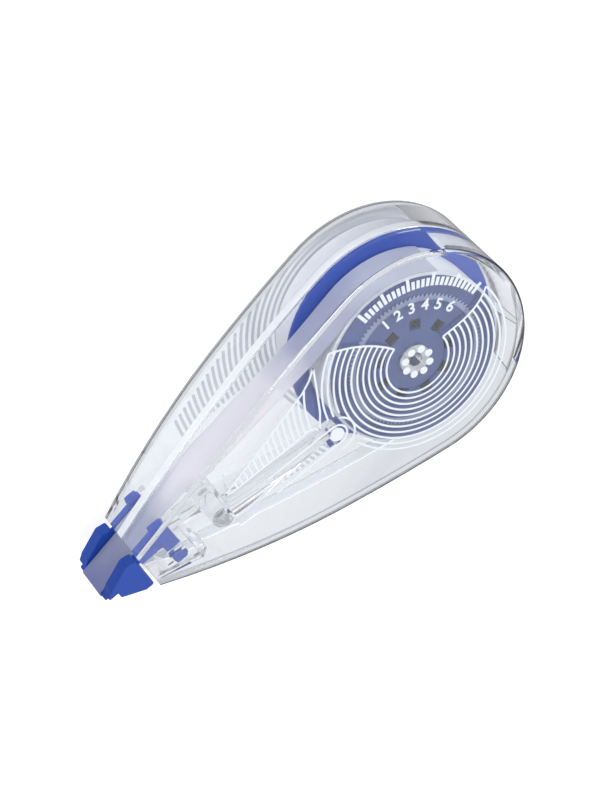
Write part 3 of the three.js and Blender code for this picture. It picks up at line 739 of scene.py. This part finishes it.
# Angles of the ring ends, in degrees, and how they change from ring to ring
BLADE_START = -70.5
BLADE_START_STEP = 1.68
BLADE_END = 187.0
BLADE_END_STEP = -1.6
BLADE_END_CURVE = 0.2
NOTCH_ANGLE = -9.0
FAR_START, FAR_START_STEP, FAR_END_STEP = 20.0, -1.0, 1.6
EVEN_ENDS = {"Start Step": 0.0, "End Step": 0.0, "End Curve": 0.0}

# Rings past the full ones, on the two sides of the front and on the back
HEAD_RINGS, FAR_RINGS, BACK_RINGS = 3, 2, 5

# Points on a blade's curve from one ring to the next
BLADE_STEPS = 4

# The fin between the rings and the guide post; its outlines are in millimetres
FIN_FIRST = 15.49 * MM
FIN_SIDE = ((10.56, -10.2), (11.91, -6.81), (13.09, -4.0), (14.41, -1.73))
FIN_UPPER = ((10.56, -10.2), (11.9, -9.0), (13.49, -8.12), (20.8, -5.82), (28.2, -3.5))
FIN_LOWER = ((14.41, -1.73), (14.9, -2.5), (15.6, -2.78), (27.3, -3.1), (28.2, -3.5))
FRONT_FIN_LINES, BACK_FIN_LINES = 15, 16
FRONT_FIN = {"Start": 17.4, "Start Edge": 11.79 * MM, "End": -1.5, "End Edge": 2.365 * MM}
BACK_FIN = {"Start": 20.5, "Start Edge": 14.89 * MM, "End": -1.5, "End Edge": 2.365 * MM}

# The guide rib's round end: an outline of half the rib's width, a dot and an arc further out
RIB_END = Vector((13.1, 0.7)) * MM
RIB_HALF = 1.35 * MM
RIB_LENGTH = 10.0 * MM
RIB_STEPS = 20
RIB_DOT = 0.95 * MM
OUTER_ARC = {"radius": 2.4 * MM, "start": 75, "end": 235, "steps": 24}

# The scale's tick marks, and the numerals under it with their font's size and weight over their height
SCALE = {
    "Sides": 4, "Radius": 10.75 * MM, "Start": -78.0, "End": -164.0,
    "Mark Radius": 0.22 * MM, "Length": 0.7 * MM, "Fifth Length": 1.3 * MM}
DIGITS = 6
DIGIT_RADIUS, DIGIT_HEIGHT = 7.3 * MM, 1.5 * MM
DIGIT_START, DIGIT_STEP = -86.0, -13.5
DIGIT_SIZE, DIGIT_WEIGHT = 1.4, 0.03

# Prints that cross differ in height by this share of the ink, so no two faces lie in one plane
INK_LAYER = 0.1


def ring_band(name, first, count, low, high, changes):
    """Rings on a face from blade to blade, but for the inputs that are changed."""
    size = printing()
    values = {
        "Rings": count, "Segments": 97, "First Radius": first, "Step": size.step, "Line": size.line,
        "Start": BLADE_START, "Start Step": BLADE_START_STEP, "Start Edge": 0.0, "End": BLADE_END,
        "End Step": BLADE_END_STEP, "End Curve": BLADE_END_CURVE, "End Edge": 0.0, "Low": low, "High": high,
        "Ink": material_named("white_ink"), **changes}
    return evaluated_tree(name, ring_band_tree(), values)


def fin_band(name, count, low, high, changes):
    return ring_band(name, FIN_FIRST, count, low, high, {**EVEN_ENDS, "Segments": 13, **changes})


def blade_angles(ring):
    start = BLADE_START + BLADE_START_STEP * ring
    return start, BLADE_END + BLADE_END_STEP * ring + BLADE_END_CURVE * ring * ring


def strokes(name, lines, low, high):
    """Raised strips along lines of points."""
    shape = bmesh.new()
    for points in lines:
        strip_mesh(shape, points, printing().line, low, high)
    bmesh.ops.recalc_face_normals(shape, faces=shape.faces)
    return piece_from(shape, name)


def blade_lines(rings):
    """The two curves that close the ring ends; the second one stops a ring earlier."""
    size = printing()
    steps = [ring / BLADE_STEPS for ring in range(BLADE_STEPS * rings + 1)]
    radii = [size.first_radius + size.step * ring for ring in steps]
    starts = [polar(radius, blade_angles(ring)[0]) for radius, ring in zip(radii, steps)]
    ends = [polar(radius, blade_angles(ring)[1]) for radius, ring in zip(radii, steps)]
    return [starts, ends[:-BLADE_STEPS]]


def millimetres(points):
    return [Vector(point) * MM for point in points]


def rib_lines():
    """The outline of the guide rib's round end, and the larger arc round it."""
    way = POST - RIB_END
    lean = math.degrees(math.atan2(way.y, way.x))
    along = polar(RIB_LENGTH, lean)
    outline = arc_points(RIB_HALF, lean + 90, lean + 270, RIB_STEPS, RIB_END)
    outline = [outline[0] + along, *outline, outline[-1] + along]
    return [outline, arc_points(**OUTER_ARC, centre=RIB_END)]


def digit(text, degrees, low, high):
    """A plain numeral on the face with its top turned outwards."""
    curve = bpy.data.curves.new("digit", "FONT")
    curve.body = text
    curve.size = DIGIT_HEIGHT * DIGIT_SIZE
    curve.align_x = "CENTER"
    curve.extrude = (high - low) / 2
    curve.offset = DIGIT_HEIGHT * DIGIT_WEIGHT
    source = add_object("digit", curve)
    mesh = evaluated_mesh(source)
    bpy.data.objects.remove(source)
    place = polar(DIGIT_RADIUS, degrees)
    turn = Matrix.Rotation(math.radians(degrees - 90), 4, "Z")
    mesh.transform(Matrix.Translation((place.x, place.y, (low + high) / 2)) @ turn)
    return add_object("digit", mesh)


def polar_marks(name, low, high, changes):
    """The ring of dots round the axle, but for the inputs that are changed."""
    size = printing()
    values = {
        "Count": size.dots, "Sides": 20, "Radius": size.dot_ring,
        "Start": 0.0, "End": 360.0 - 360.0 / size.dots, "Mark Radius": size.dot,
        "Length": 0.0, "Fifth Length": 0.0, "Low": low, "High": high,
        "Ink": material_named("white_ink"), **changes}
    return evaluated_tree(name, polar_marks_tree(), values)


def front_print():
    size = printing()
    layer = size.ink * INK_LAYER
    low, high = FACE_Z + layer, FACE_Z + size.ink
    outer = size.first_radius + size.step * size.rings
    outer_start, outer_end = blade_angles(size.rings)
    fin = [millimetres(edge) for edge in (FIN_SIDE, FIN_UPPER, FIN_LOWER)]
    turn = math.degrees(math.atan2(RIB_END.y, RIB_END.x))
    parts = [
        ring_band("rings", size.first_radius, size.rings, low, high, {}),
        ring_band("head_rings", outer, HEAD_RINGS, low, high, {
            **EVEN_ENDS, "Start": outer_start, "Start Step": BLADE_START_STEP, "End": NOTCH_ANGLE,
            "Segments": 25}),
        ring_band("far_rings", outer, FAR_RINGS, low, high, {
            **EVEN_ENDS, "Start": FAR_START, "Start Step": FAR_START_STEP, "End": outer_end,
            "End Step": FAR_END_STEP}),
        fin_band("fin_rings", FRONT_FIN_LINES, low, high, FRONT_FIN),
        strokes("lines", [*blade_lines(size.rings + FAR_RINGS), *fin], low, high + layer),
        strokes("rib", rib_lines(), low, high + 2 * layer),
        polar_marks("dots", low, high, {}),
        polar_marks("rib_dot", low, high, {
            "Count": 1, "Radius": RIB_END.length, "Start": turn, "End": turn, "Mark Radius": RIB_DOT}),
        polar_marks("scale", low, high, {**SCALE, "Count": size.ticks}),
    ]
    for i in range(DIGITS):
        parts.append(digit(str(i + 1), DIGIT_START + DIGIT_STEP * i, low, high))
    return joined("front_print", parts)


def back_print():
    size = printing()
    high, low = -size.ink * INK_LAYER, -size.ink
    line = {"Line": size.back_line}
    return joined("back_print", [
        ring_band("back_rings", size.first_radius, size.rings + BACK_RINGS, low, high, {
            **EVEN_ENDS, "Start": -180.0, "End": 180.0, "Segments": 145, **line}),
        fin_band("back_fin", BACK_FIN_LINES, low, high, {**BACK_FIN, **line})])


# Stage

CLIP_START = 0.01
WHITE = (1.0, 1.0, 1.0)

# Each softbox's place, side in metres and power in watts, and where both look
LAMPS = {"overhead": ((-0.32, 0.02, 0.45), 0.30, 1.0), "side": ((0.10, -0.55, 0.22), 0.30, 2.0)}
LAMP_TARGET = Vector((0.015, 0.0, 0.0))

# The floor lies so many heights of the ink down, and has one colour far from the white spot and one on it
FLOOR_DROP = 1.5
FLOOR_FAR, FLOOR_NEAR = (0.22, 0.22, 0.23), (0.45, 0.45, 0.45)
FLOOR_ROUGHNESS = 0.9

# The white spot's edge is this wide, its light falls off along Y, and polished faces mirror less of it
SPOT_FADE = 1.15
SLOPE_START, SLOPE_END, SLOPE_DIMMEST = -6.0 * MM, 25.0 * MM, 0.72
MIRRORED_LOSS = 0.75

# The sky's colours by height, and between which directions along Y the far panel's light comes in
SKY_STOPS = ((0.0, (0.20, 0.20, 0.21)), (0.4, (0.38, 0.38, 0.39)), (0.9, WHITE))
PANEL_START, PANEL_FULL = 0.4, 0.6


def make_camera(context):
    stage = staging()
    camera = add_object("camera", bpy.data.cameras.new("camera"))
    camera.data.lens = stage.lens
    camera.data.clip_start = CLIP_START
    forward = Vector(stage.forward).normalized()
    right = forward.cross(Vector(stage.up)).normalized()
    up = right.cross(forward)
    turn = Matrix((right, up, -forward)).transposed().to_4x4()
    camera.matrix_world = Matrix.Translation(stage.camera) @ turn
    context.scene.camera = camera


def pale_floor():
    """White for the camera; seen through the case it is dark away from the roller, as a small table is."""
    stage = staging()
    material, make, shader, _ = new_material("pale_floor")
    path = make.node("ShaderNodeLightPath").outputs
    place = make.object_place()
    spot = make.node("ShaderNodeMapping", {
        "Vector": place, "Location": stage.spot_place, "Scale": stage.spot_size}, vector_type="TEXTURE")
    reach = make.node("ShaderNodeVectorMath", {0: spot.outputs["Vector"]}, operation="LENGTH")
    near = make.ranged(reach.outputs["Value"], 1.0, SPOT_FADE, 1.0, 0.0)
    slope = make.ranged(make.split(place)["Y"], SLOPE_START, SLOPE_END, 1.0, SLOPE_DIMMEST, "LINEAR")
    seen = make.math("MAXIMUM", path["Is Camera Ray"], make.math("MULTIPLY", near, slope))
    mirrored = make.math("SUBTRACT", path["Is Glossy Ray"], path["Is Transmission Ray"], clamp=True)
    share = make.math("MULTIPLY", seen, make.math("MULTIPLY_ADD", mirrored, -MIRRORED_LOSS, 1.0))
    bright = make.math("MULTIPLY", path["Is Camera Ray"], stage.camera_glow)
    colour = make.colour_between(share, FLOOR_FAR, FLOOR_NEAR)
    make.put(shader.inputs["Base Color"], colour)
    make.put(shader.inputs["Emission Color"], WHITE)
    make.put(shader.inputs["Emission Strength"], make.math("MULTIPLY_ADD", share, stage.glow, bright))
    shader.inputs["Roughness"].default_value = FLOOR_ROUGHNESS
    shader.inputs["Specular IOR Level"].default_value = 0.0
    return material


def make_floor():
    """A plain square floor that lies just under the ink on the back face."""
    half = staging().floor / 2
    drop = -printing().ink * FLOOR_DROP
    mesh = bpy.data.meshes.new("floor")
    corners = [(-half, -half, drop), (half, -half, drop), (half, half, drop), (-half, half, drop)]
    mesh.from_pydata(corners, [], [(0, 1, 2, 3)])
    mesh.materials.append(pale_floor())
    add_object("floor", mesh)


def make_lamps():
    """A softbox behind the roller that shines on its front face, and a lower one on the long upper side."""
    for name, (place, size, power) in LAMPS.items():
        lamp = add_object(name, bpy.data.lights.new(name, "AREA"))
        lamp.data.size = size
        lamp.data.energy = power
        lamp.location = place
        lamp.rotation_euler = (LAMP_TARGET - Vector(place)).to_track_quat("-Z", "Y").to_euler()


def make_world(context):
    """White for the camera; for all other rays bright above and dim at the horizon."""
    world = bpy.data.worlds.new("studio")
    context.scene.world = world
    world.use_nodes = True
    world.node_tree.nodes.clear()
    make = TreeMaker(world.node_tree)
    way = make.split(make.node("ShaderNodeTexCoord").outputs["Generated"])
    panel = make.ranged(way["Y"], PANEL_START, PANEL_FULL, 0.0, staging().panel)
    light = make.node("ShaderNodeBackground", {
        "Color": make.ramp(way["Z"], SKY_STOPS), "Strength": make.math("ADD", panel, staging().world)})
    white = make.node("ShaderNodeBackground", {"Color": WHITE})
    seen = make.node("ShaderNodeLightPath").outputs["Is Camera Ray"]
    surface = make.shader_between(seen, light.outputs["Background"], white.outputs["Background"])
    make.node("ShaderNodeOutputWorld", {"Surface": surface})


# Faces with a look of their own

# Limits for a face's normal, along Z and, for the far side, along Y
LEVEL = 0.9
FULLY_LEVEL = 0.97
UPRIGHT = 0.5
FACING_FAR = 0.1

SHELL_LOOKS = ("clear_case", "seam_band", "case_rim", "post_plastic")


def face_drop(x):
    """How far the case's two faces have come in at a place along its length."""
    run, full_run = max(0.0, x - TAPER_START), MOUTH - TAPER_START
    arc = (full_run ** 2 + TAPER_DROP ** 2) / (2 * TAPER_DROP)
    return arc - math.sqrt(arc ** 2 - run ** 2)


def measure_heights(shell):
    """Keeps each corner's height over the back face on the mesh, and its depth under the front face.

    The depth is kept on the far outer wall alone, and is 0 on all other faces.
    """
    mesh = shell.data
    above_back = mesh.attributes.new("above_back", "FLOAT", "CORNER").data
    below_front = mesh.attributes.new("below_front", "FLOAT", "CORNER").data
    for polygon in mesh.polygons:
        far_outside = polygon.normal.y > FACING_FAR and polygon.center.y > 0.0
        for loop in polygon.loop_indices:
            place = mesh.vertices[mesh.loops[loop].vertex_index].co
            drop = face_drop(place.x)
            above_back[loop].value = place.z - CASE_LOW.z - drop
            below_front[loop].value = CASE_HIGH.z - drop - place.z if far_outside else 0.0


def is_near(piece, polygon, place, reach):
    """Whether the whole of a face lies within a distance of a place in the plane."""
    corners = (piece.data.vertices[i].co.to_2d() for i in polygon.vertices)
    return all((corner - place).length < reach for corner in corners)


def shell_look(shell, polygon):
    """Matt where the shells lap in the seam, a dark outline of painted shade on the round edges, and a darker
    post.
    """
    place = polygon.center
    level = abs(polygon.normal.z)
    off_post = (place.to_2d() - POST).length > POST_REACH
    off_axle = (place.to_2d() - AXLE).length > AXLE_REACH
    if SEAM_LOW < place.z < SEAM_HIGH and level < UPRIGHT and off_post and off_axle:
        return "seam_band"
    at_post = level > LEVEL and is_near(shell, polygon, POST, POST_REACH)
    if at_post or is_near(shell, polygon, AXLE, AXLE_REACH):
        return "post_plastic"
    inset = min(place.z - CASE_LOW.z, CASE_HIGH.z - place.z) - face_drop(place.x)
    return "case_rim" if inset < EDGE_ROUND and level < FULLY_LEVEL else "clear_case"


def finish_shell(shell):
    """Adds the looks for the seam, the round edges and the post, and gives each face its own."""
    for look in SHELL_LOOKS[1:]:
        shell.data.materials.append(material_named(look))
    for polygon in shell.data.polygons:
        polygon.material_index = SHELL_LOOKS.index(shell_look(shell, polygon))


def paint_teeth_highlight(spool):
    """Gives the tops of the ring of fine teeth on the flange a lighter colour, a painted highlight."""
    spool.data.materials.append(material_named("worn_teeth"))
    for polygon in spool.data.polygons:
        inner = min(spool.data.vertices[i].co.to_2d().length for i in polygon.vertices)
        in_ring = inner > TEETH_LOW and is_near(spool, polygon, AXLE, TEETH_HIGH)
        if in_ring and polygon.normal.z > LEVEL:
            polygon.material_index = 1


def paint_disc_light(drum):
    """Gives the faces of the drum that look to the front a lighter blue, painted light for the dim light
    inside the case.
    """
    drum.data.materials.append(material_named("drum_face"))
    for polygon in drum.data.polygons:
        if polygon.normal.z > LEVEL:
            polygon.material_index = 1


# Operators

class ROLLER_OT_stage(bpy.types.Operator):
    """Floor, even light, softboxes and the camera at the photograph's angle"""

    bl_idname = "roller.stage"
    bl_label = "Stage"

    def execute(self, context):
        make_camera(context)
        make_floor()
        make_lamps()
        make_world(context)
        context.scene.view_settings.view_transform = "Standard"
        return {"FINISHED"}


class ROLLER_OT_case(bpy.types.Operator):
    """The two clear shells"""

    bl_idname = "roller.case"
    bl_label = "Case"

    def execute(self, context):
        for node in ("back_case", "front_case"):
            shell = dress(node, f"{node}_shell", "case", "clear_case", "clear_case")
            measure_heights(shell)
            finish_shell(shell)
        return {"FINISHED"}


class ROLLER_OT_print(bpy.types.Operator):
    """The white rings, dots and scale on the front face, and the rings on the back"""

    bl_idname = "roller.print"
    bl_label = "Print"

    def execute(self, context):
        hand_over(front_print(), "case", "correction_tape", "white_ink")
        hand_over(back_print(), "case", "correction_tape", "back_ink")
        return {"FINISHED"}


class ROLLER_OT_tip(bpy.types.Operator):
    """The blue tip head"""

    bl_idname = "roller.tip"
    bl_label = "Tip"

    def execute(self, context):
        dress("tip_head", "tip_moulding", "case", "blue_plastic", "blue_plastic", eased=finishes().eased)
        return {"FINISHED"}


class ROLLER_OT_supply(bpy.types.Operator):
    """The supply reel with its roll of tape"""

    bl_idname = "roller.supply"
    bl_label = "Supply reel"

    def execute(self, context):
        spool = dress("supply_spool", "supply_moulding", "supply_reel", "blue_plastic", "spool_plastic")
        paint_teeth_highlight(spool)
        dress("tape_roll", "tape_winding", "supply_reel", "correction_tape", "wound_tape")
        return {"FINISHED"}


class ROLLER_OT_takeup(bpy.types.Operator):
    """The take-up reel with its clutch ring and first turns of liner"""

    bl_idname = "roller.takeup"
    bl_label = "Take-up reel"

    def execute(self, context):
        drum = dress("takeup_drum", "drum_moulding", "takeup_reel", "blue_plastic", "blue_plastic")
        paint_disc_light(drum)
        dress("clutch_ring", "clutch_moulding", "takeup_reel", "clutch_rubber", "clutch_rubber")
        dress("liner_coil", "liner_winding", "takeup_reel", "used_liner", "liner_turns")
        return {"FINISHED"}


class ROLLER_OT_strands(bpy.types.Operator):
    """The tape on its way to the tip and the used liner on its way back"""

    bl_idname = "roller.strands"
    bl_label = "Strands"

    def execute(self, context):
        dress("tape_strand", "tape_run", "case", "correction_tape", "tape_film", sharp=FILM_SHARP)
        dress("liner_strand", "liner_run", "case", "used_liner", "used_liner", sharp=FILM_SHARP)
        return {"FINISHED"}


OPERATORS = (
    ROLLER_OT_stage, ROLLER_OT_case, ROLLER_OT_print, ROLLER_OT_tip,
    ROLLER_OT_supply, ROLLER_OT_takeup, ROLLER_OT_strands,
)


class ROLLER_PT_panel(bpy.types.Panel):
    """Lists the pieces of the roller"""

    bl_idname = "ROLLER_PT_panel"
    bl_label = "Tape roller"
    bl_space_type = "VIEW_3D"
    bl_region_type = "UI"
    bl_category = "Tape roller"

    def draw(self, context):
        column = self.layout.column()
        for operator in OPERATORS:
            column.operator(operator.bl_idname)
        for settings in (printing(), finishes(), staging()):
            box = column.box()
            for key in settings.__annotations__:
                box.prop(settings, key)


CLASSES = (PrintSettings, FinishSettings, StageSettings, *OPERATORS, ROLLER_PT_panel)


def register():
    for cls in CLASSES:
        bpy.utils.register_class(cls)
    bpy.types.Scene.roller_print = PointerProperty(type=PrintSettings)
    bpy.types.Scene.roller_finish = PointerProperty(type=FinishSettings)
    bpy.types.Scene.roller_stage = PointerProperty(type=StageSettings)


def unregister():
    del bpy.types.Scene.roller_stage
    del bpy.types.Scene.roller_finish
    del bpy.types.Scene.roller_print
    for cls in reversed(CLASSES):
        bpy.utils.unregister_class(cls)


def main():
    register()
    bpy.ops.roller.stage()
    bpy.ops.roller.case()
    bpy.ops.roller.print()
    bpy.ops.roller.tip()
    bpy.ops.roller.supply()
    bpy.ops.roller.takeup()
    bpy.ops.roller.strands()


if __name__ == "__main__":
    main()
